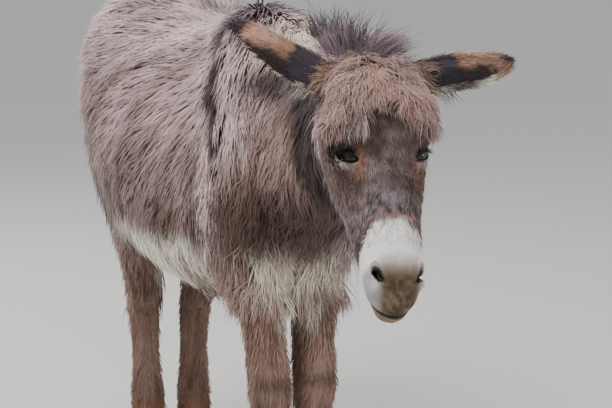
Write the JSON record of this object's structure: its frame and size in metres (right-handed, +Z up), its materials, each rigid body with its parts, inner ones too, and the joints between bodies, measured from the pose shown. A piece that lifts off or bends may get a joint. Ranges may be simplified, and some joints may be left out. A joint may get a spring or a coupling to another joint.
{
  "type": "donkey",
  "caption": "Still, life-size model of a shaggy grey-dun donkey standing on level hooves, head lowered and turned a little to its right, ears held out sideways.",
  "frame": {"origin": "on the floor, under the middle of the donkey's box", "axes": "+Z up from the floor, the donkey faces -Y, its left side lies towards +X"},
  "size_m": [0.531, 1.742, 1.1405],
  "materials": {
    "coat": "long shaggy hair, matt",
    "coat_dark": "coarse dark hair, matt",
    "coat_leg": "short brown hair, matt",
    "muzzle": "short pale hair over soft skin, matt",
    "hoof": "dull dark horn",
    "eye": "wet and glossy, dark brown"
  },
  "bodies": {
    "root": {"trunk": "coat", "neck": "coat", "mane": "coat_dark", "head": "coat", "muzzle": "muzzle", "lower_jaw": "muzzle", "ear_left": "coat_dark", "ear_right": "coat_dark", "eye_left": "eye", "eye_right": "eye", "foreleg_upper_left": "coat_leg", "foreleg_upper_right": "coat_leg", "foreleg_lower_left": "coat_leg", "foreleg_lower_right": "coat_leg", "hoof_fore_left": "hoof", "hoof_fore_right": "hoof", "hind_leg_upper_left": "coat_leg", "hind_leg_upper_right": "coat_leg", "hind_leg_lower_left": "coat_leg", "hind_leg_lower_right": "coat_leg", "hoof_hind_left": "hoof", "hoof_hind_right": "hoof", "tail": "coat_leg"}
  },
  "joints": []
}
